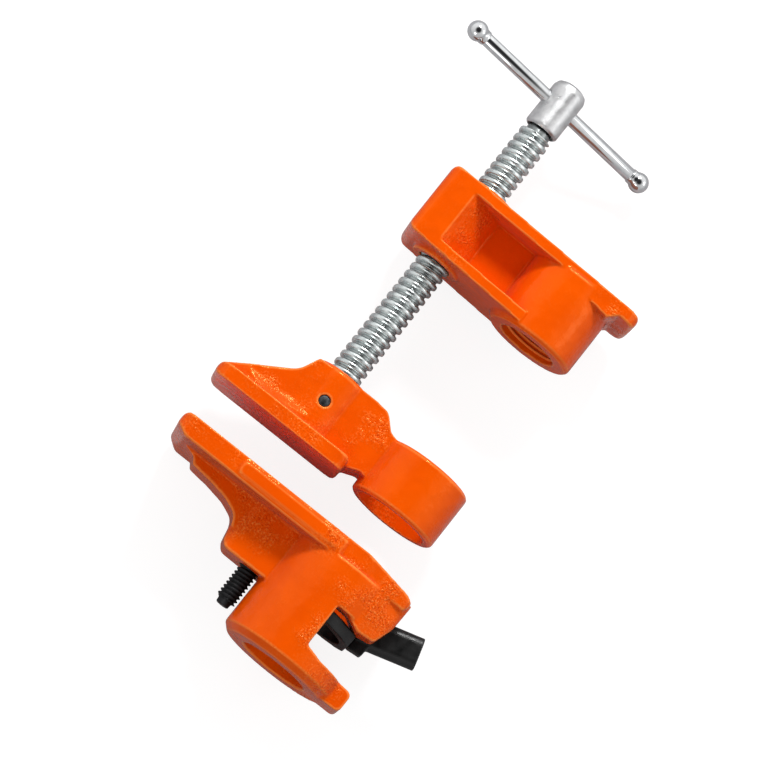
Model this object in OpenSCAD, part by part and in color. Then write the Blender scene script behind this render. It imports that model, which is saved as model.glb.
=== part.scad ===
// Pipe clamp fixture: fixed head, sliding jaw, main screw with a sliding T-bar, and a tail stop
// that grips the pipe with a tilting clutch plate. It lies on its side, as set down on a bench.
// X runs along the pipe towards the handle, Y from the pipe to the jaw tips, Z up.
// The origin is on the pipe's axis, at the mouth of the head's threaded socket.

/* [Pipe] */
// Outside diameter of the pipe that the clamp runs on
pipe_d = 26.7; // [24:0.1:30]
// Root diameter of the head's pipe socket
socket_d = 23.8; // [20:0.1:25]
// Depth of the pipe socket
socket_depth = 26; // [16:0.5:27]
// Play between the pipe and the tail stop's bore, on the radius
tail_play = 0.35; // [0.2:0.05:0.8]
// Play between the pipe and the sliding jaw's ring, on the radius
ring_play = 1.65; // [0.5:0.05:2.5]
// Play between the pipe and the clutch plate's hole, on the radius
clutch_play = 0.55; // [0.4:0.05:0.9]

/* [Clamping screw] */
// Height of the screw's axis above the pipe's axis
screw_y = 45.5; // [43:0.5:50]
// Crest diameter of the screw
screw_d = 13.2; // [11:0.1:14]
// Lead of the screw's thread
screw_lead = 3.5; // [2.5:0.1:5]
// Depth of the screw's thread
thread_depth = 1.3; // [0.8:0.1:1.5]
// Play between the screw and the bores that guide it, on the radius
running_play = 0.07; // [0.03:0.01:0.1]
// Diameter of the screw's plain ends
neck_d = 10; // [8.5:0.1:10.5]
// Length of the plain neck between the thread and the hub
neck_length = 2.4; // [1:0.1:4]
// Distance from the pipe socket's mouth to the hub
hub_x = 67; // [55:0.5:90]

/* [Handle] */
// Diameter of the hub
hub_d = 13.9; // [12:0.1:18]
// Length of the hub
hub_length = 21; // [17:0.5:26]
// Diameter of the T-bar
bar_d = 5.3; // [4:0.1:6]
// Distance between the centres of the two balls
ball_spacing = 86.4; // [60:1:110]
// Angle by which the T-bar is turned up out of the bench's plane
bar_turn = 19; // [0:1:24]
// Diameter of a ball
ball_d = 8; // [7:0.1:10]
// Distance from the hub's outer end to the T-bar
bar_inset = 9.4; // [6:0.1:10]

/* [Head casting] */
// Outside diameter of the head's barrel
barrel_d = 36.6; // [33:0.2:42]
// Length of the head at its top
head_length = 34; // [32:0.5:40]
// Thickness of the head in Z
head_width = 34; // [30:0.5:36]
// Height of the head's top above the screw
head_crown = 16.5; // [14:0.5:22]
// Thickness of the end plate
end_plate = 4.6; // [4:0.1:6]
// Thickness of the flange on the jaw's side
flange = 4; // [3:0.1:6]
// Thickness of the web between the two recesses
web = 6; // [4:0.5:9]
// Lowest point of the foot, below the pipe's axis
foot_drop = 26.9; // [24:0.1:32]
// Lean of the two flanges over the head's height
flange_lean = 2.6; // [0:0.1:4]
// Height of the raised face round the screw
boss_rise = 1.4; // [0.5:0.1:2.5]

/* [Sliding jaw] */
// Distance from the pipe socket's mouth to the pad's face, at rest
jaw_gap = 82.5; // [75:0.5:100]
// Depth of the jaw from its pad to the mouth of its screw boss
jaw_depth = 30; // [28:0.5:36]
// Length of the ring round the pipe
ring_length = 23; // [16:0.5:26]
// Wall of the ring
ring_wall = 3.3; // [2.5:0.1:5]
// Height of the pad's tip above the pipe's axis
jaw_top = 84; // [78:0.5:92]
// Thickness of the pad
pad_thick = 5.6; // [4.5:0.1:7]
// Width of the pad in Z
pad_width = 30; // [28:0.5:36]
// Lower edge of the pad above the pipe's axis
pad_bottom = 25; // [23:0.5:28]
// Outside diameter of the screw boss
jaw_boss_d = 23.4; // [20:0.2:25]
// Depth of the bore that takes the screw's end
jaw_bore_depth = 20.5; // [18:0.5:22]
// Distance from the pad's face to the retaining pin
pin_x = 17; // [15:0.5:19]
// Diameter of the retaining pin
pin_d = 4.6; // [3:0.1:5]
// Width of the pin's groove in the screw's end
groove_width = 5.4; // [5.1:0.1:6]
// Depth of the pin's groove
groove_depth = 1.6; // [1:0.1:2]

/* [Tail stop] */
// Distance from the pipe socket's mouth to the tail stop's jaw face, at rest
tail_gap = 101; // [98:0.5:130]
// Length of the tail stop along the pipe
tail_length = 51.3; // [50:0.1:56]
// Outside diameter of the tail stop's barrel
tail_d = 48; // [46:0.2:52]
// Height of the tail stop's tip above the pipe's axis
tail_top = 82.3; // [78:0.1:90]
// Thickness of the tail stop's jaw plate
tail_plate = 8.4; // [7:0.1:10]
// Width of the jaw plate in Z
tail_width = 44; // [40:0.5:48]
// Width of the rib behind the jaw plate
rib_width = 16; // [10:0.5:20]
// Width of the block that holds the stop bolt
bolt_block = 23; // [20:0.5:26]
// Rise of the strips on the jaw plate's two edges
strip_rise = 0.8; // [0.4:0.1:1.5]
// Diameter of the stop bolt's thread
bolt_d = 8.2; // [6:0.1:8.6]
// Height of the stop bolt above the pipe's axis
bolt_y = 28.6; // [28.4:0.1:31]
// Length of the stop bolt that stands out behind its block
bolt_reach = 16; // [10:0.5:18]
// Diameter of the stop bolt's head
bolt_head_d = 13; // [11:0.1:14]
// Length of the stop bolt's head
bolt_head = 6; // [5:0.1:8]
// Length of the stop bolt's dog point
bolt_point = 2.6; // [1.5:0.1:5]
// Lower end of the strips on the jaw plate, above the pipe's axis
strip_bottom = 7; // [4:0.5:12]
// Upper end of the strips on the jaw plate, above the pipe's axis
strip_top = 54; // [40:0.5:70]
// Lowest point of the rear foot, below the pipe's axis
rear_foot_drop = 28.7; // [26:0.1:34]
// Width of the rear foot in Z
rear_foot_width = 18; // [12:0.5:24]

/* [Clutch] */
// Distance from the tail stop's rear face to the clutch window
window_x = 11; // [10:0.1:12]
// Length of the clutch window along the pipe
window_length = 18; // [17:0.1:19]
// Upper edge of the clutch window, below the pipe's axis
window_drop = 4.5; // [3:0.1:7]
// Outside diameter of the clutch plate
clutch_d = 38.4; // [36:0.2:39]
// Thickness of the clutch plate
clutch_thick = 5; // [3.5:0.1:5.5]
// Play round the clutch plate in its pocket
pocket_play = 1; // [0.5:0.1:1.5]
// Forward lean of the clutch plate when it grips
clutch_lean = 4; // [2:0.5:4]
// Lean of the release lever towards the jaw
lever_lean = 20; // [12:1:24]
// Distance from the clutch plate's front to the middle of the release lever's end
lever_reach = 12; // [9:0.5:16]
// Width of the release lever
lever_width = 12.7; // [10:0.1:14]
// Thickness of the release lever
lever_thick = 7; // [5:0.1:9]
// Distance of the lever's end below the pipe's axis
lever_drop = 38.5; // [34:0.5:46]
// Wire diameter of the clutch spring
wire_d = 0.7; // [0.5:0.05:0.8]
// Outside diameter of the clutch spring
spring_d = 4.5; // [3.8:0.1:4.6]
// Number of turns of the clutch spring
spring_turns = 9; // [6:1:12]

/* [Hidden] */
$fn = 64;

cast_orange = "orangered";
zinc = "lightsteelblue";
nickel = "silver";
black_oxide = "#202022";

past = 1;
clear_z = 80;
corner_steps = 4;

head_top = screw_y + head_crown;
recess_top = screw_y + 4;
screw_bore_r = screw_d / 2 + running_play;
jaw_x = -jaw_gap;
boss_mouth_x = jaw_x + jaw_depth;
jaw_boss_r = jaw_boss_d / 2;
screw_nose = 1.8;
bore_end = min(jaw_depth - jaw_bore_depth, pin_x - groove_width / 2 - screw_nose - past);
ring_bore_r = pipe_d / 2 + ring_play;
ring_r = ring_bore_r + ring_wall;
neck_r = neck_d / 2;
hub_seat = hub_length - bar_inset - bar_d / 2 - 2;
bar_x = hub_x + hub_length - bar_inset;
bar_half = ball_spacing / 2;

tail_x = -tail_gap - tail_length;
tail_bore_r = pipe_d / 2 + tail_play;
plate_x = tail_length - tail_plate;
block_x = tail_length - 29.3;
window_end = window_x + window_length;
pocket_r = clutch_d / 2 + pocket_play;
lever_slot = lever_thick / 2 + 1.1;
tooth = [window_end - 2.6, -15.5];
clutch_hole_r = pipe_d / 2 + clutch_play;
clutch_cut = -17;
spring_y = 17.2;
spring_start = window_x - 6.5;
coil_r = (spring_d - wire_d) / 2;
plate_back = tooth.x + (spring_y - tooth.y) * tan(clutch_lean) - clutch_thick / cos(clutch_lean);
spring_length = plate_back - 0.1 - spring_start;
bolt_r = bolt_d / 2;
head_seat = tail_length - bolt_head - 1.2;
block_top = bolt_y + 16.4;

// Unit vector along v.
function unit(v) = v / norm(v);

// Arc of radius r that rounds the corner b between a and c, or b itself when r is 0.
function corner(a, b, c, r) =
    let (
        p = [b.x, b.y],
        u = unit([a.x, a.y] - p),
        w = unit([c.x, c.y] - p),
        half = acos(u * w) / 2,
        centre = p + unit(u + w) * r / sin(half),
        from = p + u * r / tan(half) - centre,
        to = p + w * r / tan(half) - centre,
        sweep = 180 - 2 * half
    )
    r == 0 ? [p] : [
        for (i = [0:corner_steps])
            let (t = i / corner_steps)
            centre + (sin((1 - t) * sweep) * from + sin(t * sweep) * to) / sin(sweep)
    ];

// Outline through points [x, y, corner radius].
function rounded(points) =
    let (n = len(points))
    [for (i = [0:n - 1]) each corner(points[(i + n - 1) % n], points[i], points[(i + 1) % n], points[i].z)];

// Sets a piece of the handle on the screw's axis, turned with the T-bar.
module at_bar(out = 0) {
    translate([bar_x, screw_y, 0])
        rotate([bar_turn, 0, 0])
            translate([0, out, 0])
                children();
}

// Outline seen from above, made as thick as width about Z = 0.
module slab(points, width) {
    translate([0, 0, -width / 2])
        linear_extrude(width)
            polygon(rounded(points));
}

// Outline seen along the pipe (Y, Z), from x along the pipe.
module along(points, x, length) {
    translate([x, 0, 0])
        rotate([90, 0, 90])
            linear_extrude(length)
                polygon(rounded(points));
}

// Round bar along the pipe at height y.
module rod(d, x, length, y = 0, z = 0) {
    translate([x, y, z])
        rotate([0, 90, 0])
            cylinder(d = d, h = length);
}

// Turned piece along the pipe: its profile is given as [distance along X, radius].
module turned(profile, y = 0) {
    translate([0, y, 0])
        rotate([0, 90, 0])
            rotate_extrude()
                polygon([for (p = profile) [p.y, p.x]]);
}

// Blind recess on one side of the web, open towards +Z; its end under the screw slopes.
module head_recess() {
    low = flange + flange_lean;
    far = head_length - end_plate;
    intersection() {
        translate([0, 0, web / 2])
            linear_extrude(head_width)
                polygon(rounded([[low - 0.6, 0, 0], [low + 1.4, recess_top + 9, 0], [far, recess_top + 9, 0],
                    [far - 1.4, 0, 0]]));
        along([[0, web / 2 - past, 0], [0, head_width / 2 + past, 0],
            [recess_top + 1, head_width / 2 + past, 0], [screw_y - 9, web / 2 + 0.8, 3],
            [screw_y - 11, web / 2 - past, 0]], 0, head_length);
    }
}

// Silhouette of the head's frame: the flange, the crown and the end plate with its foot.
module head_frame() {
    lean = flange_lean;
    plate_foot = head_length - lean - end_plate;
    intersection() {
        slab([[1.8, 8, 0], [1.8 + lean, head_top, 3.4], [head_length, head_top, 2.4],
            [head_length - lean, -foot_drop, 2.2], [plate_foot - 0.4, -foot_drop, 2.2],
            [plate_foot, -barrel_d / 2 - 1.5, 0], [plate_foot - 3.4, -barrel_d / 2 + 2, 0],
            [plate_foot, 8, 0]], head_width);
        along([[head_top, head_width / 2, 4], [head_top, -head_width / 2, 4],
            [-foot_drop, -head_width / 2, 6], [-foot_drop, head_width / 2, 6]], 0, head_length + past);
    }
}

module head_casting() {
    color(cast_orange)
        difference() {
            union() {
                difference() {
                    head_frame();
                    head_recess();
                    mirror([0, 0, 1]) head_recess();
                }
                turned([[0, 0], [0, barrel_d / 2 - 1.2], [1.2, barrel_d / 2], [head_length - end_plate, barrel_d / 2],
                    [head_length - end_plate, 0]]);
                rod(screw_d + 7, 1.8 + flange_lean * 0.7 - boss_rise, flange, screw_y);
                rod(screw_d + 11, head_length - end_plate, end_plate + boss_rise, screw_y);
            }
            rod(socket_d, -past, socket_depth + past);
            rod(2 * screw_bore_r, -past, head_length + 2 * boss_rise + 2 * past, screw_y);
        }
}

// Section of the jaw's gusset square to its tip: flush with the pad, hollowed between pad and boss.
module gusset_form() {
    half = pad_width / 2;
    low = jaw_boss_r - 1.2;
    translate([0, jaw_top, 0])
        rotate([90, 0, 0])
            linear_extrude(jaw_top)
                polygon(rounded([[0, half, 0], [pad_thick, half - 0.6, 0], [pad_thick + 3.4, low + 0.6, 5],
                    [jaw_depth, low, 0], [jaw_depth, -low, 0], [pad_thick + 3.4, -low - 0.6, 5],
                    [pad_thick, 0.6 - half, 0], [0, -half, 0]]));
}

module jaw_casting() {
    color(cast_orange)
        translate([jaw_x, 0, 0])
            difference() {
                union() {
                    intersection() {
                        slab([[0, pad_bottom, 1.4], [0, jaw_top, 2.4], [pad_thick, jaw_top, 2.2],
                            [pad_thick + 0.3, pad_bottom, 2]], pad_width);
                        along([[jaw_top, pad_width / 2, 6], [jaw_top, -pad_width / 2, 6],
                            [pad_bottom, -pad_width / 2, 4], [pad_bottom, pad_width / 2, 4]], -past, jaw_depth);
                    }
                    intersection() {
                        slab([[2, screw_y, 0], [2, jaw_top - 2, 0], [pad_thick - 0.2, jaw_top - 0.4, 0],
                            [jaw_depth - 9.5, screw_y + 14.5, 9], [jaw_depth - 1.2, screw_y + 10.8, 1.5],
                            [jaw_depth - 1.2, screw_y, 0]], pad_width);
                        along([[jaw_top, 9, 3], [jaw_top, -9, 3], [screw_y + 18, 1 - pad_width / 2, 8],
                            [screw_y, -jaw_boss_r, 0], [screw_y, jaw_boss_r, 0],
                            [screw_y + 18, pad_width / 2 - 1, 8]], 0, jaw_depth);
                        gusset_form();
                    }
                    turned([[1, 0], [1, jaw_boss_r], [jaw_depth - 1.2, jaw_boss_r], [jaw_depth, jaw_boss_r - 1.2],
                        [jaw_depth, 0]], screw_y);
                    slab([[2.4, screw_y, 0], [2.4, pad_bottom + 1.5, 4], [5.2, ring_r + 1, 3], [4, ring_bore_r - 1, 0],
                        [ring_length - 0.6, ring_bore_r - 1, 0], [ring_length + 0.8, ring_r + 1, 3],
                        [jaw_depth - 1, pad_bottom - 0.5, 3], [jaw_depth - 0.4, 30, 2],
                        [jaw_depth - 0.4, screw_y, 0]], 17);
                    turned([[0, 0], [0, ring_r - 1], [1, ring_r], [ring_length - 1, ring_r],
                        [ring_length, ring_r - 1], [ring_length, 0]]);
                }
                rod(2 * ring_bore_r, -past, ring_length + 2 * past + 6);
                rod(neck_d + 2 * running_play, bore_end, jaw_depth, screw_y);
                rod(screw_d + 1.4, jaw_depth - 1.6, 2 * past + 1, screw_y);
                translate([pin_x, screw_y, 0])
                    cylinder(d = pin_d, h = clear_z);
            }
}

// Short pin, driven in from the side, whose end rides in the screw's groove.
module jaw_pin() {
    color(black_oxide)
        translate([jaw_x + pin_x, screw_y, neck_r - groove_depth + running_play])
            cylinder(d = pin_d, h = jaw_boss_r - 0.7 - neck_r + groove_depth - running_play);
}

module main_screw() {
    tip = jaw_x + bore_end + past;
    pin = jaw_x + pin_x;
    neck = hub_x - neck_length;
    groove_r = neck_r - groove_depth;
    crest = screw_d / 2;
    root = crest - thread_depth;
    rings = floor((neck - 1.5 - boss_mouth_x) / screw_lead);
    color(zinc)
        turned([[tip, 0], [tip, neck_r - 1], [tip + 1, neck_r], [pin - groove_width / 2, neck_r],
            [pin - groove_width / 2, groove_r], [pin + groove_width / 2, groove_r],
            [pin + groove_width / 2, neck_r], [boss_mouth_x - 0.4, neck_r],
            for (i = [0:rings - 1], p = [[0.1, root], [0.4, crest], [0.6, crest], [0.9, root]])
                [boss_mouth_x + (i + p.x) * screw_lead, p.y],
            [neck, root], [neck, neck_r], [hub_x + hub_seat, neck_r], [hub_x + hub_seat, 0]], screw_y);
}

module handle_hub() {
    r = hub_d / 2;
    end = hub_x + hub_length;
    color(nickel)
        difference() {
            turned([[hub_x, 0], [hub_x, r - 0.8], [hub_x + 0.8, r], [end - 3.2, r], [end - 1.2, r - 0.9],
                [end - 0.3, r - 2.6], [end, r - 4.4], [end, 0]], screw_y);
            rod(neck_d, hub_x - past, hub_seat + past, screw_y);
            rod(neck_d + 1.6, hub_x - past, past + 1.2, screw_y);
            at_bar()
                rotate([90, 0, 0])
                    cylinder(d = bar_d + 2 * running_play, h = 2 * hub_d, center = true);
        }
}

module handle_bar() {
    length = ball_spacing - ball_d * 0.5;
    color(nickel)
        at_bar()
            rotate([90, 0, 0])
                cylinder(d = bar_d, h = length, center = true);
}

// Ball with a short neck, pressed on the bar's end; side is 1 or -1.
module handle_ball(side) {
    color(nickel)
        at_bar(side * bar_half)
            rotate([side * 90, 0, 0])
                difference() {
                    union() {
                        sphere(d = ball_d);
                        cylinder(d = bar_d + 0.8, h = ball_d / 2 + 0.4);
                    }
                    translate([0, 0, ball_d * 0.25])
                        cylinder(d = bar_d, h = ball_d);
                }
}

module handle_ball_a() {
    handle_ball(1);
}

module handle_ball_b() {
    handle_ball(-1);
}

// Jaw plate of the tail stop, down to the front foot.
module tail_plate_form() {
    half = tail_width / 2;
    intersection() {
        slab([[plate_x, -24, 0], [plate_x + 4, -26, 2], [tail_length - 2.6, -22, 4], [tail_length, -2, 5],
            [tail_length, tail_top, 2.4], [tail_length - 5.4, tail_top, 2], [plate_x, tail_top - 5, 2]], tail_width);
        along([[tail_top, half, 5], [tail_top, -half, 5], [-4, -half, 10], [-26, 5 - half, 5],
            [-26, half - 5, 5], [-4, half, 10]], 0, tail_length + past);
    }
}

// Stepped rib that runs down the back of the jaw plate to the bolt's block.
module tail_rib() {
    slab([[plate_x + 2, bolt_y, 0], [plate_x + 2, tail_top - 5, 0], [plate_x - 0.4, tail_top - 7.6, 1.5],
        [plate_x - 1.6, tail_top - 12, 1], [plate_x - 4.2, tail_top - 13.6, 1.5], [plate_x - 5, block_top + 15, 8],
        [plate_x - 6.4, block_top + 7, 8], [plate_x - 9, block_top + 0.6, 5], [block_x + 8, block_top - 1, 0],
        [block_x + 8, bolt_y, 0]], rib_width);
}

module tail_block() {
    half = bolt_block / 2;
    intersection() {
        slab([[block_x, 10, 0], [block_x, block_top - 4, 3], [block_x + 2.5, block_top - 2, 2],
            [block_x + 9, block_top - 0.6, 0], [plate_x + 2, block_top - 0.6, 0], [plate_x + 2, 10, 0]], bolt_block);
        along([[block_top - 0.4, half - 3, 6], [block_top - 0.4, 3 - half, 6], [10, -half, 0], [10, half, 0]],
            block_x - past, tail_length);
    }
}

// Lower front of the tail stop; its hooked inner edge ends in the tooth that the clutch plate rocks on.
module front_foot() {
    intersection() {
        slab([[window_end, -3, 0], [window_end, tooth.y + 6, 1], [tooth.x, tooth.y, 0.3],
            [tooth.x + 1.1, -22.8, 1.5], [window_end + 7, -25.6, 3], [plate_x + 4, -26, 0],
            [plate_x + 4, -3, 0]], 42);
        along([[0, 21, 0], [0, -21, 0], [-14, -20, 6], [-26, -14.5, 5], [-26, 14.5, 5], [-14, 20, 6]],
            window_x, tail_length - window_x);
    }
}

// Room that the release lever needs between the two cheeks of the front foot.
module lever_slot_form() {
    slab([[window_end - past, -10, 0], [window_end - past, -45, 0], [plate_x + 5, -45, 0],
        [plate_x + 2.2, -27, 0], [window_end + 9.4, -17.2, 1], [window_end + 0.4, -13.2, 0]], 2 * lever_slot);
    slab([[tooth.x - past, -13, 0], [tooth.x - past, -45, 0], [window_end, -45, 0], [window_end, -13, 0]],
        2 * lever_slot);
}

module tail_casting() {
    bevel = 2.6;
    r = tail_d / 2;
    color(cast_orange)
        translate([tail_x, 0, 0])
            difference() {
                union() {
                    difference() {
                        union() {
                            turned([[0, 0], [0, r - bevel], [bevel, r], [plate_x + 1, r], [plate_x + 1, 0]]);
                            slab([[0.4, -12, 0], [0.4, -rear_foot_drop, 2], [8.6, -rear_foot_drop, 2], [9.2, -r, 0],
                                [9.4, -12, 0]], rear_foot_width);
                            tail_block();
                            tail_rib();
                            tail_plate_form();
                        }
                        slab([[window_x, -window_drop, 0], [window_x - 1.6, -12, 0], [window_x - 1.8, -40, 0],
                            [window_end, -40, 0], [window_end, -window_drop, 0]], clear_z);
                        rod(2 * pocket_r, window_x, window_length);
                        translate([window_x, -r, -pocket_r])
                            cube([window_length, r, 2 * pocket_r]);
                    }
                    front_foot();
                    slab([[plate_x + 1.8, strip_bottom, 0], [plate_x + 1.8, strip_top, 1],
                        [tail_length - 1.6, strip_top, 1], [tail_length - 1.6, strip_bottom, 0]],
                        tail_width + 2 * strip_rise);
                }
                rod(2 * tail_bore_r, -past, tail_length + 2 * past);
                lever_slot_form();
                rod(bolt_d + 2 * running_play, block_x - past, tail_length, bolt_y);
                rod(bolt_head_d + 1, head_seat, tail_length, bolt_y);
                rod(spring_d + 0.4, spring_start, window_x, spring_y);
            }
}

// Screw set in from the jaw's face, with a dog point at its free end.
module stop_bolt() {
    tip = block_x - bolt_reach;
    head_end = head_seat + bolt_head;
    color(black_oxide)
        translate([tail_x, 0, 0])
            difference() {
                turned([[tip, 0], [tip, bolt_r * 0.62], [tip + bolt_point * 0.7, bolt_r * 0.68],
                    [tip + bolt_point, bolt_r], [head_seat, bolt_r], [head_seat, bolt_head_d / 2], [head_end - 0.6, bolt_head_d / 2],
                    [head_end, bolt_head_d / 2 - 0.6], [head_end, 0]], bolt_y);
                translate([head_end - bolt_head * 0.6, bolt_y, 0])
                    rotate([0, 90, 0])
                        cylinder(d = bolt_d * 0.86, h = bolt_head, $fn = 6);
            }
}

// Points of the clutch spring's tube: rings of spring_sides points along the helix.
spring_sides = 6;
spring_rings = 8;
wire_r = wire_d / 2;
spring_pitch = (spring_length - wire_d) / spring_turns;
spring_steps = spring_turns * spring_rings;
spring_points = [
    for (i = [0:spring_steps])
        let (
            turn = 360 * i / spring_rings,
            x = wire_r + spring_pitch * i / spring_rings,
            out = [0, cos(turn), sin(turn)]
        )
        for (k = [0:spring_sides - 1])
            let (a = 360 * k / spring_sides)
            [x, 0, 0] + out * (coil_r + wire_r * cos(a)) + [wire_r * sin(a), 0, 0]
];
spring_faces = [
    for (i = [0:spring_steps - 1], k = [0:spring_sides - 1])
        let (
            a = i * spring_sides + k,
            b = i * spring_sides + (k + 1) % spring_sides
        )
        each [[a, a + spring_sides, b], [b, a + spring_sides, b + spring_sides]],
    for (k = [1:spring_sides - 2])
        each [[0, k, k + 1], [spring_steps * spring_sides, spring_steps * spring_sides + k + 1,
            spring_steps * spring_sides + k]]
];

module clutch_spring() {
    color(zinc)
        translate([tail_x + spring_start, spring_y, 0])
            polyhedron(points = spring_points, faces = spring_faces);
}

// Sets a piece of the clutch at its gripping lean, rocked forward on the tooth.
module at_grip() {
    translate([tail_x + tooth.x, tooth.y, 0])
        rotate([0, 0, -clutch_lean])
            translate([-tooth.x, -tooth.y, 0])
                children();
}

module clutch_plate() {
    front = tooth.x - 0.05;
    color(black_oxide)
        at_grip()
            difference() {
                rod(clutch_d, front - clutch_thick, clutch_thick);
                rod(2 * clutch_hole_r, front - 2 * clutch_thick, 3 * clutch_thick);
                translate([front - 2 * clutch_thick, clutch_cut - clutch_d, -clutch_d])
                    cube([3 * clutch_thick, clutch_d, 2 * clutch_d]);
            }
}

// Lever of rounded section; its shouldered root is set in the clutch plate's lower edge.
module release_lever() {
    root_y = -15.4;
    front = tooth.x - 0.05;
    swing = [sin(lever_lean), -cos(lever_lean), 0];
    side = [cos(lever_lean), sin(lever_lean), 0];
    end = [front + lever_reach, -lever_drop, 0];
    blank = lever_drop * 0.8;
    round_d = lever_thick;
    color(black_oxide)
        at_grip()
            union() {
                difference() {
                    translate(end - blank * swing)
                        rotate([90, 0, lever_lean])
                            linear_extrude(blank)
                                union() {
                                    square([lever_width - round_d, round_d], center = true);
                                    for (s = [-1, 1])
                                        translate([s * (lever_width - round_d) / 2, 0])
                                            circle(d = round_d);
                                }
                    slab([[front - 20, 10, 0], [front - 20, clutch_cut, 0], [front + 0.6, clutch_cut, 0],
                        [front + 10, clutch_cut - 5, 0], [front + 30, clutch_cut - 5, 0], [front + 30, 10, 0]],
                        3 * lever_thick);
                }
                slab([[front - clutch_thick + 0.6, clutch_cut, 0], [front + 0.6, clutch_cut, 0],
                    [front + 3, clutch_cut - 6, 0], [front - clutch_thick + 1.6, clutch_cut - 6, 0]], lever_thick * 0.9);
            }
}

head_casting();
jaw_casting();
jaw_pin();
main_screw();
handle_hub();
handle_bar();
handle_ball_a();
handle_ball_b();
tail_casting();
stop_bolt();
clutch_spring();
clutch_plate();
release_lever();
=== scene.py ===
import math

import bmesh
import bpy
from mathutils import Matrix, Vector, noise


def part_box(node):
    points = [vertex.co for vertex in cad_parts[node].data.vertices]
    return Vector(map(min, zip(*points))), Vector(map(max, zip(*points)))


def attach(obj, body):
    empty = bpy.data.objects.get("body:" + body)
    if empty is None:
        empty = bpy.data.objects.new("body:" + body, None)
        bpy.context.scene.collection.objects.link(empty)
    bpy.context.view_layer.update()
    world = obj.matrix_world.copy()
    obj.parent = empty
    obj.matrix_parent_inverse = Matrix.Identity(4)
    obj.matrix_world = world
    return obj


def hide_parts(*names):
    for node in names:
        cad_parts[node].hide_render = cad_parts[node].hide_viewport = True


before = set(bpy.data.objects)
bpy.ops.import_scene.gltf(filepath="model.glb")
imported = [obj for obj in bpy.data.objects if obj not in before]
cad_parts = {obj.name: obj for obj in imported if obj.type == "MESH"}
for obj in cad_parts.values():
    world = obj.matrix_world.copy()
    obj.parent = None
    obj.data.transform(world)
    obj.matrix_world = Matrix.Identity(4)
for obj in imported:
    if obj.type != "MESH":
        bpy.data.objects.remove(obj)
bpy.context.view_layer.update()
mm = 0.001

# Studio
# The pieces lie on a matte table that fills the picture. It looks white to the camera by a glow of
# its own, keeps their soft shadow, and is a plain grey in what the metal mirrors.

table_z = -24.25 * mm
table_reach = 2.5
table_grey = (0.26, 0.26, 0.26, 1)
mirrored_grey = (0.4, 0.4, 0.41, 1)
table_glow = 0.86


def table_paint():
    """Matte and glowing to the camera, matte to the light, and mid grey in a mirror."""
    made = bpy.data.materials.new("white_table")
    made.use_nodes = True
    nodes = made.node_tree.nodes
    link = made.node_tree.links.new
    nodes.clear()
    matte = nodes.new("ShaderNodeBsdfDiffuse")
    matte.inputs["Color"].default_value = table_grey
    in_metal = nodes.new("ShaderNodeBsdfDiffuse")
    in_metal.inputs["Color"].default_value = mirrored_grey
    glow = nodes.new("ShaderNodeEmission")
    glow.inputs["Strength"].default_value = table_glow
    glowing = nodes.new("ShaderNodeAddShader")
    link(matte.outputs[0], glowing.inputs[0])
    link(glow.outputs[0], glowing.inputs[1])
    rays = nodes.new("ShaderNodeLightPath")
    unseen = nodes.new("ShaderNodeMixShader")
    link(rays.outputs["Is Glossy Ray"], unseen.inputs[0])
    link(matte.outputs[0], unseen.inputs[1])
    link(in_metal.outputs[0], unseen.inputs[2])
    seen_or_not = nodes.new("ShaderNodeMixShader")
    link(rays.outputs["Is Camera Ray"], seen_or_not.inputs[0])
    link(unseen.outputs[0], seen_or_not.inputs[1])
    link(glowing.outputs[0], seen_or_not.inputs[2])
    link(seen_or_not.outputs[0], nodes.new("ShaderNodeOutputMaterial").inputs["Surface"])
    return made


table_bm = bmesh.new()
bmesh.ops.create_grid(table_bm, x_segments=1, y_segments=1, size=table_reach)
bmesh.ops.translate(table_bm, verts=table_bm.verts, vec=(0, 0, table_z))
table_mesh = bpy.data.meshes.new("table_top")
table_bm.to_mesh(table_mesh)
table_bm.free()
table_mesh.materials.append(table_paint())
table_top = bpy.data.objects.new("table_top", table_mesh)
bpy.context.collection.objects.link(table_top)

# The room: bright walls all round and a dark ceiling, where the camera hangs, with the most light on
# the side of the key lamp. The plated metal mirrors walls and ceiling as its light and dark streaks.
floor_light = (0.8, 0.81, 0.82, 1)
ceiling_light = (0.03, 0.03, 0.033, 1)
wall_lights = ((0.35, 1.0), (0.77, 0.95), (0.88, 0.3), (0.93, 0.04))
bright_side = (0.88, 0.16, 0.45)
dim_side_share = 0.72
bright_side_share = 1.3
room_strength = 0.78


def feed(tree, value, socket):
    """Gives a socket its value: a link where the value is a socket, and else the value itself."""
    if isinstance(value, bpy.types.NodeSocket):
        tree.links.new(value, socket)
    else:
        socket.default_value = value


def span(tree, value, low, high, to_low, to_high):
    """Maps low..high to to_low..to_high, and holds at the ends."""
    node = tree.nodes.new("ShaderNodeMapRange")
    node.inputs["From Min"].default_value = low
    node.inputs["From Max"].default_value = high
    node.inputs["To Min"].default_value = to_low
    node.inputs["To Max"].default_value = to_high
    tree.links.new(value, node.inputs["Value"])
    return node.outputs["Result"]


def calc(tree, kind, a, b):
    """One Math node; a and b are sockets or numbers."""
    node = tree.nodes.new("ShaderNodeMath")
    node.operation = kind
    feed(tree, a, node.inputs[0])
    feed(tree, b, node.inputs[1])
    return node.outputs[0]


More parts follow.
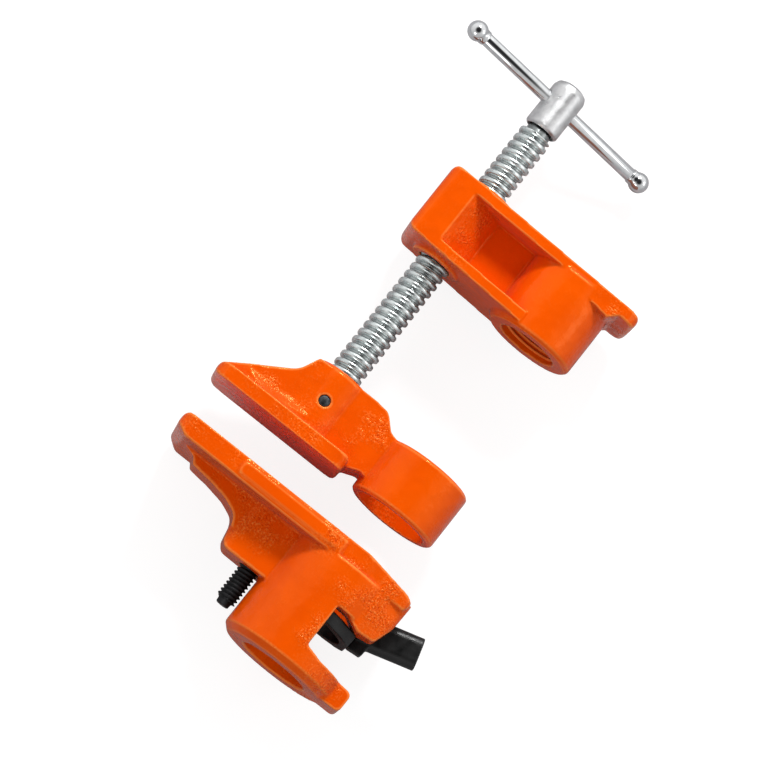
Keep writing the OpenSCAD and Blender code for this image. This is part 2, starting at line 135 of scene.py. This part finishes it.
def light_room():
    """Lights the world: by height through a ramp, and stronger towards the bright side."""
    room = bpy.data.worlds.new("pale_room")
    bpy.context.scene.world = room
    room.use_nodes = True
    nodes = room.node_tree.nodes
    link = room.node_tree.links.new
    nodes.clear()
    where = nodes.new("ShaderNodeTexCoord")
    height = nodes.new("ShaderNodeSeparateXYZ")
    link(where.outputs["Generated"], height.inputs[0])
    ramp = nodes.new("ShaderNodeValToRGB")
    stops = ramp.color_ramp.elements
    stops[0].position, stops[0].color = 0.0, floor_light
    stops[1].position, stops[1].color = 1.0, ceiling_light
    for at, grey in wall_lights:
        stops.new(at).color = (grey, grey, grey, 1)
    link(height.outputs["Z"], ramp.inputs[0])
    towards = nodes.new("ShaderNodeVectorMath")
    towards.operation = "DOT_PRODUCT"
    towards.inputs[1].default_value = bright_side
    link(where.outputs["Generated"], towards.inputs[0])
    by_side = span(room.node_tree, towards.outputs["Value"], -0.5, 0.85, dim_side_share, bright_side_share)
    sky = nodes.new("ShaderNodeBackground")
    link(ramp.outputs[0], sky.inputs["Color"])
    link(calc(room.node_tree, "MULTIPLY", by_side, room_strength), sky.inputs["Strength"])
    link(sky.outputs[0], nodes.new("ShaderNodeOutputWorld").inputs["Surface"])


light_room()
lamps_aim = Vector((-0.04, 0.03, 0))


def softbox(name, place, width, depth, watts):
    """A rectangular lamp that looks at the middle of the clamp. In metres."""
    lamp = bpy.data.lights.new(name, "AREA")
    lamp.shape = "RECTANGLE"
    lamp.size = width
    lamp.size_y = depth
    lamp.energy = watts
    holder = bpy.data.objects.new(name, lamp)
    holder.location = Vector(place)
    holder.rotation_euler = (lamps_aim - Vector(place)).to_track_quat("-Z", "Y").to_euler()
    bpy.context.collection.objects.link(holder)


softbox("key_lamp", (0.98, 0.28, 0.92), 0.28, 0.28, 12.5)
softbox("fill_lamp", (-0.9, 0.2, 0.7), 0.5, 0.4, 1.2)
softbox("low_lamp", (0.4, -0.75, 0.45), 0.5, 0.3, 0.8)

# The camera hangs above, leaning towards the tail stop, so that the ends that face it show.
# The row points up and to the right in the picture.
picture_middle = Vector((-44.5, 34.4, 0)) * mm
picture_width = 279.5 * mm
film_width = 36
camera_far = 1.9
camera_lean = math.radians(11)
row_tilt = math.radians(51.5)
back = Vector((-math.sin(camera_lean), 0, math.cos(camera_lean)))
along_row = Vector((math.cos(camera_lean), 0, math.sin(camera_lean)))
across_row = Vector((0, 1, 0))
right = along_row * math.cos(row_tilt) - across_row * math.sin(row_tilt)
up = along_row * math.sin(row_tilt) + across_row * math.cos(row_tilt)
lens = bpy.data.cameras.new("camera")
lens.sensor_width = film_width
lens.lens = film_width * camera_far / picture_width
lens.clip_end = 20
camera = bpy.data.objects.new("camera", lens)
facing = Matrix((right, up, back)).transposed().to_4x4()
camera.matrix_world = Matrix.Translation(picture_middle + back * camera_far) @ facing
bpy.context.collection.objects.link(camera)
bpy.context.scene.camera = camera

bpy.context.scene.view_settings.view_transform = "Standard"

# Head casting
# The fixed head: grey iron poured in sand, ground where the mould parted, and dipped in orange
# enamel. The pipe screws into its barrel, and the screw runs in its crown.

screw_y = 45.5
screw_bore_r = 6.75
head_back = 35.4
socket_r = 11.9
socket_depth = 26
enamel = (0.93, 0.1, 0.0005, 1)
# A darker enamel: random cloudy thick paint, and painted shade in hollows and pits.
enamel_deep_and_shaded = (0.6, 0.03, 0.0003, 1)
# A lighter enamel, painted on edges and on the tops of sand lumps as a highlight.
enamel_highlight = (1.0, 0.25, 0.045, 1)
# The enamel's colour in what the metal mirrors: a painted reflection in dark grey.
enamel_painted_reflection = (0.12, 0.11, 0.1, 1)
enamel_tint = (1, 0.45, 0.12, 1)
enamel_ior = 1.45
enamel_shine = 0.65
enamel_roughness = (0.1, 0.18)
# Spans of pointiness, where 0.5 is flat: less in hollows, which get painted shade, more on edges, which get a
# painted highlight.
hollow_points = (0.465, 0.497)
edge_points = (0.509, 0.532)
sand_grain = 1250
sand_depth = 1.3
sand_relief = 0.45 * mm
head_sand = [[11, 41, 11, 11, 1.0], [24, 41, 11, 11, 0.8], [33, -24, 0, 13, 0.9], [30, 60, 0, 12, 0.5],
             [2, 40, 10, 14, 0.6], [17, 22, 14, 9, 0.6], [28, -14, 14, 9, 0.8], [17, 41, -11, 9, 1.0]]


def noise_value(tree, coords, scale, detail=2.0, rough=0.5):
    """Noise over the object's own coordinates; scale counts the lumps in a metre."""
    node = tree.nodes.new("ShaderNodeTexNoise")
    feed(tree, scale, node.inputs["Scale"])
    node.inputs["Detail"].default_value = detail
    node.inputs["Roughness"].default_value = rough
    tree.links.new(coords, node.inputs["Vector"])
    return node.outputs["Fac"]


def blend_colours(tree, amount, first, second):
    """Mixes two colours, each a socket or four numbers."""
    node = tree.nodes.new("ShaderNodeMix")
    node.data_type = "RGBA"
    feed(tree, amount, node.inputs[0])
    feed(tree, first, node.inputs[6])
    feed(tree, second, node.inputs[7])
    return node.outputs[2]


def value_group(name, takes, gives):
    """An empty node group with number sockets only; returns it with its input and output nodes."""
    group = bpy.data.node_groups.new(name, "ShaderNodeTree")
    for socket in takes:
        group.interface.new_socket(socket, in_out="INPUT", socket_type="NodeSocketFloat")
    for socket in gives:
        group.interface.new_socket(socket, in_out="OUTPUT", socket_type="NodeSocketFloat")
    return group, group.nodes.new("NodeGroupInput"), group.nodes.new("NodeGroupOutput")


def cast_skin_group():
    """What sand leaves under paint: lumps and pits, deep where the piece's sand attribute is high."""
    group, given, out = value_group("cast_skin", ("Grain Scale", "Depth"),
                                    ("Height", "Rough Places", "Tops", "Pits"))
    coords = group.nodes.new("ShaderNodeTexCoord").outputs["Object"]
    sand = group.nodes.new("ShaderNodeAttribute")
    sand.attribute_name = "sand"
    places = sand.outputs["Fac"]
    lumps = noise_value(group, coords, given.outputs["Grain Scale"], 1.5, 0.6)
    deep = calc(group, "MULTIPLY", calc(group, "MULTIPLY", lumps, places), given.outputs["Depth"])
    waves = calc(group, "MULTIPLY", noise_value(group, coords, 170, 1.0), 0.9)
    # Tops and pits are the masks for the enamel's painted glints and painted shade.
    tops = calc(group, "MULTIPLY", span(group, lumps, 0.54, 0.66, 0.0, 1.0), places)
    pits = calc(group, "MULTIPLY", span(group, lumps, 0.46, 0.34, 0.0, 1.0), places)
    group.links.new(calc(group, "ADD", deep, waves), out.inputs["Height"])
    group.links.new(places, out.inputs["Rough Places"])
    group.links.new(tops, out.inputs["Tops"])
    group.links.new(pits, out.inputs["Pits"])
    return group


def enamel_over(cast_skin):
    """Orange enamel over cast iron: cloudy in tone, with painted shade in hollows and pits, painted
    highlights on edges and lump tops, and a painted dark grey in mirrors.
    """
    made = bpy.data.materials.new("orange_paint")
    made.use_nodes = True
    tree = made.node_tree
    shader = tree.nodes["Principled BSDF"]
    skin = tree.nodes.new("ShaderNodeGroup")
    skin.node_tree = cast_skin
    skin.inputs["Grain Scale"].default_value = sand_grain
    skin.inputs["Depth"].default_value = sand_depth
    coords = tree.nodes.new("ShaderNodeTexCoord").outputs["Object"]
    point = tree.nodes.new("ShaderNodeNewGeometry").outputs["Pointiness"]
    # Hollows and sand pits get painted shade: the enamel is darkened there, as if in shade.
    hollow = span(tree, point, *hollow_points, 1.0, 0.0)
    painted_shade = calc(tree, "MULTIPLY", calc(tree, "MAXIMUM", hollow, skin.outputs["Pits"]), 0.6)
    cloudy = span(tree, noise_value(tree, coords, 60), 0.35, 0.7, 0.0, 0.22)
    cloudy_tone_and_shade = calc(tree, "MAXIMUM", painted_shade, cloudy)
    # Edges and the tops of sand lumps get a painted highlight: a lighter orange in the colour itself.
    edge_highlight = span(tree, point, *edge_points, 0.0, 0.8)
    painted_highlight = calc(tree, "MAXIMUM", edge_highlight, calc(tree, "MULTIPLY", skin.outputs["Tops"], 0.6))
    coat = blend_colours(tree, cloudy_tone_and_shade, enamel, enamel_deep_and_shaded)
    coat = blend_colours(tree, painted_highlight, coat, enamel_highlight)
    # In what the metal mirrors, the enamel is painted a dark grey: a painted reflection, not its own colour.
    in_metal = tree.nodes.new("ShaderNodeLightPath").outputs["Is Glossy Ray"]
    painted_reflection_share = calc(tree, "MULTIPLY", in_metal, 0.85)
    tree.links.new(blend_colours(tree, painted_reflection_share, coat, enamel_painted_reflection), shader.inputs["Base Color"])
    gloss = span(tree, noise_value(tree, coords, 240), 0.3, 0.7, *enamel_roughness)
    broken = calc(tree, "MULTIPLY", skin.outputs["Rough Places"], 0.05)
    tree.links.new(calc(tree, "ADD", gloss, broken), shader.inputs["Roughness"])
    shader.inputs["IOR"].default_value = enamel_ior
    shader.inputs["Specular IOR Level"].default_value = enamel_shine
    shader.inputs["Specular Tint"].default_value = enamel_tint
    relief = tree.nodes.new("ShaderNodeBump")
    relief.inputs["Strength"].default_value = 0.9
    relief.inputs["Distance"].default_value = sand_relief
    tree.links.new(skin.outputs["Height"], relief.inputs["Height"])
    tree.links.new(relief.outputs[0], shader.inputs["Normal"])
    return made


orange_paint = enamel_over(cast_skin_group())


def bm_of_node(name):
    """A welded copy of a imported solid, to be worked on."""
    bm = bmesh.new()
    bm.from_mesh(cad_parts[name].data)
    bmesh.ops.remove_doubles(bm, verts=bm.verts, dist=0.002 * mm)
    return bm


def piece_of(bm, name, material):
    """Makes an object at the origin of a finished bmesh, shaded smooth."""
    mesh = bpy.data.meshes.new(name)
    bm.to_mesh(mesh)
    bm.free()
    mesh.shade_smooth()
    mesh.materials.append(material)
    thing = bpy.data.objects.new(name, mesh)
    bpy.context.collection.objects.link(thing)
    return thing


def softened(bm, cell, passes):
    """The solid as a mould gives it: one skin of cells that size in mm, every edge and corner rounded."""
    rough = piece_of(bm, "pattern", orange_paint)
    skin_over = rough.modifiers.new("one skin", "REMESH")
    skin_over.mode = "VOXEL"
    skin_over.voxel_size = cell * mm
    skin_over.use_smooth_shade = True
    ease = rough.modifiers.new("ease", "SMOOTH")
    ease.factor = 0.5
    ease.iterations = passes
    done = bmesh.new()
    done.from_mesh(rough.evaluated_get(bpy.context.evaluated_depsgraph_get()).to_mesh())
    bpy.data.objects.remove(rough)
    return done


def true_bore(bm, y, radius, start, end, reach=0.3):
    """Makes a bore round again: what lies within reach of its wall goes on its wall. In millimetres."""
    for v in bm.verts:
        off = Vector((0, v.co.y - y * mm, v.co.z))
        if start * mm < v.co.x < end * mm and off.length < (radius + reach) * mm:
            v.co += off * (radius * mm / off.length - 1)


# How many patches and lumps the sand leaves in a metre of skin.
sand_patches = 160
sand_lumps = 1100
fine_sand_lumps = 1900


def sand_blow(bm, places, base, depth):
    """Roughens the skin; places are [x, y, z, radius, amount] in millimetres, strongest in their middle."""
    layer = bm.verts.layers.float.new("sand")
    bm.normal_update()
    for v in bm.verts:
        patchy = 0.5 + noise.noise(v.co * sand_patches)
        amount = base
        for x, y, z, radius, strength in places:
            near = 1 - (v.co - Vector((x, y, z)) * mm).length / (radius * mm)
            if near > 0:
                amount = max(amount, strength * min(1, 1.6 * near))
        v[layer] = max(0.0, min(1.0, amount * (0.1 + 1.5 * patchy)))
        lump = noise.noise(v.co * sand_lumps) + 0.5 * noise.noise(v.co * fine_sand_lumps)
        v.co += v.normal * lump * v[layer] * depth * mm


# How far past a casting's faces its bores are made true.
past = 1

bm = softened(bm_of_node("head_casting"), 0.5, 3)
true_bore(bm, screw_y, screw_bore_r, -past, head_back + past)
true_bore(bm, 0, socket_r, -past, socket_depth)
sand_blow(bm, head_sand, 0.08, 0.1)
head_cast = piece_of(bm, "head_cast", orange_paint)
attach(head_cast, "head")
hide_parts("head_casting")

# The pipe's thread in the socket: a ridge wound round the bore, under the same enamel.
pipe_pitch = 1.81
pipe_turns = 12
turn_steps = 72
ridge_start = 1.4
ridge = [[-0.82, 12.2], [-0.16, 11.25], [0.16, 11.25], [0.82, 12.2]]

bm = bmesh.new()
corners = [bm.verts.new(((ridge_start + x) * mm, r * mm, 0)) for x, r in ridge]
sides = [bm.edges.new((corners[i], corners[(i + 1) % 4])) for i in range(4)]
bmesh.ops.spin(bm, geom=corners + sides, cent=(0, 0, 0), axis=(1, 0, 0), angle=2 * math.pi * pipe_turns,
               steps=turn_steps * pipe_turns, dvec=(pipe_pitch * mm / turn_steps, 0, 0))
bmesh.ops.holes_fill(bm, edges=[e for e in bm.edges if e.is_boundary], sides=0)
bmesh.ops.recalc_face_normals(bm, faces=bm.faces)
socket_thread = piece_of(bm, "socket_thread", orange_paint)
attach(socket_thread, "head")

# Sliding jaw
# The jaw that the screw pushes: the same iron and enamel. Its ring runs loose on the pipe, and
# its boss holds the end of the screw.

jaw_front = -82.5
jaw_back = -52.5
ring_bore_r = 15.0
boss_mouth_r = 7.3
boss_mouth_depth = 1.6
jaw_sand = [[-62, 24, 8, 10, 0.9], [-74, 26, 9, 9, 0.6], [-82, 50, 14, 22, 0.5], [-56, 56, 8, 9, 0.6],
            [-76, 68, 10, 10, 0.7], [-80, 15, 10, 8, 0.8], [-80, 5, -14, 16, 0.5]]

bm = softened(bm_of_node("jaw_casting"), 0.5, 3)
true_bore(bm, 0, ring_bore_r, jaw_front - past, jaw_back)
true_bore(bm, screw_y, boss_mouth_r, jaw_back - boss_mouth_depth, jaw_back + past, 0.25)
sand_blow(bm, jaw_sand, 0.08, 0.1)
jaw_cast = piece_of(bm, "jaw_cast", orange_paint)
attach(jaw_cast, "jaw")
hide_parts("jaw_casting")

# Retaining pin
# A short dark steel pin, driven in from the side of the jaw's boss. Its end rides in a groove
# of the screw and keeps the screw in the jaw.

pin_x = -65.5
pin_r = 2.28
pin_chamfer = 0.5


def worn_group():
    """Handled metal: slow clouds, an even fine grain, bright worn edges, and hollows for painted shade."""
    group, given, out = value_group("worn_and_shaded_metal", ("Cloud Scale",), ("Clouds", "Grain", "Edges", "Hollows"))
    coords = group.nodes.new("ShaderNodeTexCoord").outputs["Object"]
    point = group.nodes.new("ShaderNodeNewGeometry").outputs["Pointiness"]
    clouds = noise_value(group, coords, given.outputs["Cloud Scale"], 4)
    group.links.new(clouds, out.inputs["Clouds"])
    group.links.new(noise_value(group, coords, 3200, 3.0, 0.65), out.inputs["Grain"])
    group.links.new(span(group, point, 0.51, 0.57, 0.0, 1.0), out.inputs["Edges"])
    group.links.new(span(group, point, 0.497, 0.46, 0.0, 1.0), out.inputs["Hollows"])
    return group


worn_and_shaded_metal = worn_group()


def metal(name, dull, bright, roughness, spread, cloud_scale, grain_depth, metallic=1.0, shine=0.5):
    """A plated or blackened metal: its colour and its gloss drift between two values, over a fine grain, and
    it is darkened in hollows as painted shade.
    """
    made = bpy.data.materials.new(name)
    made.use_nodes = True
    tree = made.node_tree
    shader = tree.nodes["Principled BSDF"]
    shader.inputs["Metallic"].default_value = metallic
    shader.inputs["Specular IOR Level"].default_value = shine
    wear = tree.nodes.new("ShaderNodeGroup")
    wear.node_tree = worn_and_shaded_metal
    wear.inputs["Cloud Scale"].default_value = cloud_scale
    clouds = span(tree, wear.outputs["Clouds"], 0.35, 0.65, 0.0, 0.7)
    lift = calc(tree, "ADD", clouds, calc(tree, "MULTIPLY", wear.outputs["Edges"], 0.3))
    plating = blend_colours(tree, lift, (*dull, 1), (*bright, 1))
    # Hollows get painted shade: the plating is darkened there towards a quarter of its dull colour.
    shadowed = calc(tree, "MULTIPLY", wear.outputs["Hollows"], 0.8)
    dark = (dull[0] * 0.25, dull[1] * 0.25, dull[2] * 0.25, 1)
    tree.links.new(blend_colours(tree, shadowed, plating, dark), shader.inputs["Base Color"])
    uneven = span(tree, wear.outputs["Clouds"], 0.3, 0.7, roughness - spread, roughness + spread)
    tree.links.new(uneven, shader.inputs["Roughness"])
    bump = tree.nodes.new("ShaderNodeBump")
    bump.inputs["Strength"].default_value = grain_depth
    bump.inputs["Distance"].default_value = 0.1 * mm
    tree.links.new(wear.outputs["Grain"], bump.inputs["Height"])
    tree.links.new(bump.outputs[0], shader.inputs["Normal"])
    return made


def spun(bm, profile, y, steps=64):
    """Turns a profile of [x, radius] about a line along the row at height y. In millimetres."""
    points = [bm.verts.new((x * mm, (y + r) * mm, 0)) for x, r in profile]
    lines = [bm.edges.new(pair) for pair in zip(points, points[1:])]
    bmesh.ops.spin(bm, geom=points + lines, cent=(0, y * mm, 0), axis=(1, 0, 0), angle=2 * math.pi,
                   steps=steps, use_merge=True)
    bmesh.ops.remove_doubles(bm, verts=bm.verts, dist=0.002 * mm)


dark_steel = metal("dark_steel", dull=(0.045, 0.05, 0.055), bright=(0.13, 0.14, 0.15), roughness=0.42,
                   spread=0.1, cloud_scale=500, grain_depth=0.25, metallic=0.9)

pin_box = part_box("jaw_pin")
pin_foot = pin_box[0].z / mm
pin_top = pin_box[1].z / mm
bm = bmesh.new()
spun(bm, [[pin_foot, 0], [pin_foot, pin_r], [pin_top - pin_chamfer, pin_r], [pin_top - 0.12, pin_r - 0.23],
          [pin_top, pin_r - 0.68], [pin_top, 0]], 0, 40)
bmesh.ops.rotate(bm, verts=bm.verts, cent=(0, 0, 0), matrix=Matrix.Rotation(math.radians(-90), 3, "Y"))
bmesh.ops.translate(bm, verts=bm.verts, vec=(pin_x * mm, screw_y * mm, 0))
bmesh.ops.recalc_face_normals(bm, faces=bm.faces)
pin_steel = piece_of(bm, "pin_steel", dark_steel)
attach(pin_steel, "jaw")
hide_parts("jaw_pin")

# Main screw
# A steel screw with a coarse rolled thread, right-handed, zinc plated. Its plain nose turns in
# the jaw and its plain neck is fixed in the handle's hub.

lead = 3.5
crest_r = 6.6
root_r = 5.25
thread_start = -53.9
thread_end = 64.2
nose_end = -72
neck_end = 73.5
neck_r = 4.95
groove_r = 3.4
groove_start = -68.2
groove_end = -62.8

# One pitch of the thread: share of the pitch, share of the depth.
rolled = [[0, 0], [0.07, 0.03], [0.14, 0.18], [0.2, 0.52], [0.26, 0.83], [0.34, 0.97], [0.5, 1],
          [0.66, 0.97], [0.74, 0.83], [0.8, 0.52], [0.86, 0.18], [0.93, 0.03], [1, 0]]


def thread(bm, y, pitch, root, crest, start, end, steps, shape):
    """Sweeps one pitch of thread along a helix and cuts it square at both ends. In millimetres."""
    first = start - 2 * pitch
    turns = math.ceil((end - start) / pitch) + 4
    points = [bm.verts.new(((first + pitch * t) * mm, (y + root + (crest - root) * h) * mm, 0))
              for t, h in shape]
    lines = [bm.edges.new(pair) for pair in zip(points, points[1:])]
    bmesh.ops.spin(bm, geom=points + lines, cent=(0, y * mm, 0), axis=(1, 0, 0), angle=2 * math.pi * turns,
                   steps=steps * turns, dvec=(pitch * mm / steps, 0, 0))
    bmesh.ops.remove_doubles(bm, verts=bm.verts, dist=0.012 * mm)
    for x, side in ((start, -1), (end, 1)):
        cut = bmesh.ops.bisect_plane(bm, geom=bm.verts[:] + bm.edges[:] + bm.faces[:], dist=0.0005 * mm,
                                     plane_co=(x * mm, 0, 0), plane_no=(side, 0, 0), clear_outer=True)
        rim = [e for e in cut["geom_cut"] if isinstance(e, bmesh.types.BMEdge)]
        bmesh.ops.holes_fill(bm, edges=rim, sides=0)
    bmesh.ops.recalc_face_normals(bm, faces=bm.faces)


def add_to(bm, other):
    """Adds the faces of another bmesh, and frees that one."""
    passing = bpy.data.meshes.new("passing")
    other.to_mesh(passing)
    other.free()
    bm.from_mesh(passing)
    bpy.data.meshes.remove(passing)


zinc_plate = metal("zinc_plate", dull=(0.62, 0.67, 0.67), bright=(0.92, 0.97, 0.96), roughness=0.27,
                   spread=0.07, cloud_scale=420, grain_depth=0.3)

bm = bmesh.new()
thread(bm, screw_y, lead, root_r, crest_r, thread_start, thread_end, 48, rolled)
stem = bmesh.new()
spun(stem, [[nose_end, 0], [nose_end, neck_r - 0.95], [nose_end + 1, neck_r], [groove_start, neck_r],
            [groove_start, groove_r], [groove_end, groove_r], [groove_end, neck_r],
            [thread_start + 0.4, neck_r]], screw_y)
spun(stem, [[thread_end - 0.4, neck_r], [neck_end, neck_r], [neck_end, 0]], screw_y)
add_to(bm, stem)
screw_threaded = piece_of(bm, "screw_threaded", zinc_plate)
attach(screw_threaded, "screw")
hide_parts("main_screw")

# Handle hub
# The knuckle on the screw's outer end: cast, cross-drilled for the T-bar and nickel plated over
# its cast skin, with a domed end.

hub_front = 67
hub_bore_r = 5.02
hub_bore_end = 75.5
cast_nickel = metal("cast_nickel", dull=(0.6, 0.6, 0.605), bright=(0.9, 0.9, 0.9), roughness=0.34,
                    spread=0.08, cloud_scale=260, grain_depth=0.8)

bm = softened(bm_of_node("handle_hub"), 0.25, 4)
true_bore(bm, screw_y, hub_bore_r, hub_front - past, hub_bore_end)
hub_cast = piece_of(bm, "hub_cast", cast_nickel)
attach(hub_cast, "screw")
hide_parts("handle_hub")

# T-bar and its balls
# A drawn steel bar that slides through the hub, bright plated, with a ball pressed on each end
# over a short collar.

bar_x = 78.6
bar_r = 2.65
ball_r = 4.0
ball_out = 43.2
collar_r = 3.0
collar_end = ball_out - 4.4
bar_end = ball_out - 2.2
bar_turn = math.radians(19)
bright_chrome = metal("bright_chrome", dull=(0.72, 0.73, 0.74), bright=(0.9, 0.91, 0.92), roughness=0.06,
                      spread=0.02, cloud_scale=300, grain_depth=0.05)


def turned_across(name, profile, node):
    """A turned piece of the handle, square to the screw. The profile is [distance from the screw, radius]."""
    bm = bmesh.new()
    spun(bm, [[-out, r] for out, r in profile], 0, 56)
    bmesh.ops.rotate(bm, verts=bm.verts, cent=(0, 0, 0), matrix=Matrix.Rotation(math.radians(-90), 3, "Z"))
    bmesh.ops.rotate(bm, verts=bm.verts, cent=(0, 0, 0), matrix=Matrix.Rotation(bar_turn, 3, "X"))
    bmesh.ops.translate(bm, verts=bm.verts, vec=(bar_x * mm, screw_y * mm, 0))
    bmesh.ops.recalc_face_normals(bm, faces=bm.faces)
    made = piece_of(bm, name, bright_chrome)
    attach(made, "handle")
    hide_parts(node)


turned_across("tee_bar", [[-bar_end, 0], [-bar_end, bar_r - 0.3], [0.4 - bar_end, bar_r],
                          [bar_end - 0.4, bar_r], [bar_end, bar_r - 0.3], [bar_end, 0]], "handle_bar")
for mark, side in (("a", 1), ("b", -1)):
    arc = [[side * (ball_out + ball_r * math.cos(math.radians(a))), ball_r * math.sin(math.radians(a))]
           for a in range(0, 131, 10)]
    collar = [[side * (ball_out - 3.6), collar_r + 0.03], [side * (collar_end + 0.2), collar_r],
              [side * collar_end, collar_r - 0.12], [side * collar_end, bar_r]]
    turned_across("ball_" + mark, arc + collar, "handle_ball_" + mark)

# Tail stop
# The casting that grips the pipe anywhere along it: jaw plate, ribs, bolt block, and the barrel
# with a window for the clutch plate. The same iron and enamel, with the roughest skin on its feet.

tail_back = -152.3
tail_front = -101
tail_bore_r = 13.7
bolt_y = 28.6
bolt_hole_r = 4.35
bolt_seat = -109
tail_sand = [[-114, -16, 16, 14, 1.0], [-146, -16, 14, 14, 1.0], [-118, -4, 20, 9, 0.9],
             [-104, -18, 14, 14, 1.0], [-106, 12, 20, 9, 1.0], [-112, 32, 10, 13, 1.0],
             [-120, 38, 11, 12, 0.8], [-108, 48, 12, 12, 0.9], [-106, 62, 12, 14, 0.8],
             [-104, 78, 16, 12, 0.7], [-136, -3, 22, 9, 0.9], [-104, 0, 22, 8, 0.9],
             [-146, -16, -14, 14, 1.0], [-114, -16, -16, 14, 1.0]]

bm = softened(bm_of_node("tail_casting"), 0.55, 3)
true_bore(bm, 0, tail_bore_r, tail_back - past, tail_front + past)
true_bore(bm, bolt_y, bolt_hole_r, tail_back - past, bolt_seat, 0.25)
sand_blow(bm, tail_sand, 0.1, 0.11)
tail_cast = piece_of(bm, "tail_cast", orange_paint)
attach(tail_cast, "tail")
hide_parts("tail_casting")

# Stop bolt
# A black socket screw set in from the jaw's face, its dog point standing out behind the block.

bolt_tip = -146.3
under_head = -108.2
bolt_pitch = 1.6
bolt_root_r = 3.25
bolt_crest_r = 4.1
sharp = [[0, 0], [0.12, 0.05], [0.4, 0.9], [0.5, 1], [0.6, 0.9], [0.88, 0.05], [1, 0]]
dog_point = [[0, 0], [0, 2.3], [0.3, 2.6], [1.8, 2.75], [2.5, 3.5]]
black_oxide = metal("black_oxide", dull=(0.008, 0.008, 0.009), bright=(0.028, 0.028, 0.03), roughness=0.36,
                    spread=0.1, cloud_scale=500, grain_depth=0.4, metallic=0.4, shine=0.3)

bolt_head = bm_of_node("stop_bolt")
bmesh.ops.bisect_plane(bolt_head, geom=bolt_head.verts[:] + bolt_head.edges[:] + bolt_head.faces[:],
                       dist=0.001 * mm, plane_co=((under_head - 0.6) * mm, 0, 0), plane_no=(1, 0, 0),
                       clear_inner=True)
bm = bmesh.new()
thread(bm, bolt_y, bolt_pitch, bolt_root_r, bolt_crest_r, bolt_tip + 2.4, under_head, 40, sharp)
spun(bm, [[bolt_tip + x, r] for x, r in dog_point], bolt_y, 48)
add_to(bm, bolt_head)
bmesh.ops.recalc_face_normals(bm, faces=bm.faces)
stop_screw = piece_of(bm, "stop_screw", black_oxide)
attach(stop_screw, "tail")
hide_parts("stop_bolt")

# Clutch
# A black steel plate hangs on the pipe and rocks on the tooth of the front foot; the lever set in
# its lower edge lets it go. A small zinc plated spring keeps it at the lean that grips.

black_paint = metal("black_paint", dull=(0.003, 0.003, 0.003), bright=(0.009, 0.009, 0.009), roughness=0.36,
                    spread=0.08, cloud_scale=260, grain_depth=0.5, metallic=0.0, shine=0.45)

for node, cell, passes in (("clutch_plate", 0.4, 3), ("release_lever", 0.3, 5)):
    made = piece_of(softened(bm_of_node(node), cell, passes), node + "_black", black_paint)
    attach(made, "clutch")
    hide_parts(node)

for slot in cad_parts["clutch_spring"].material_slots:
    slot.material = zinc_plate
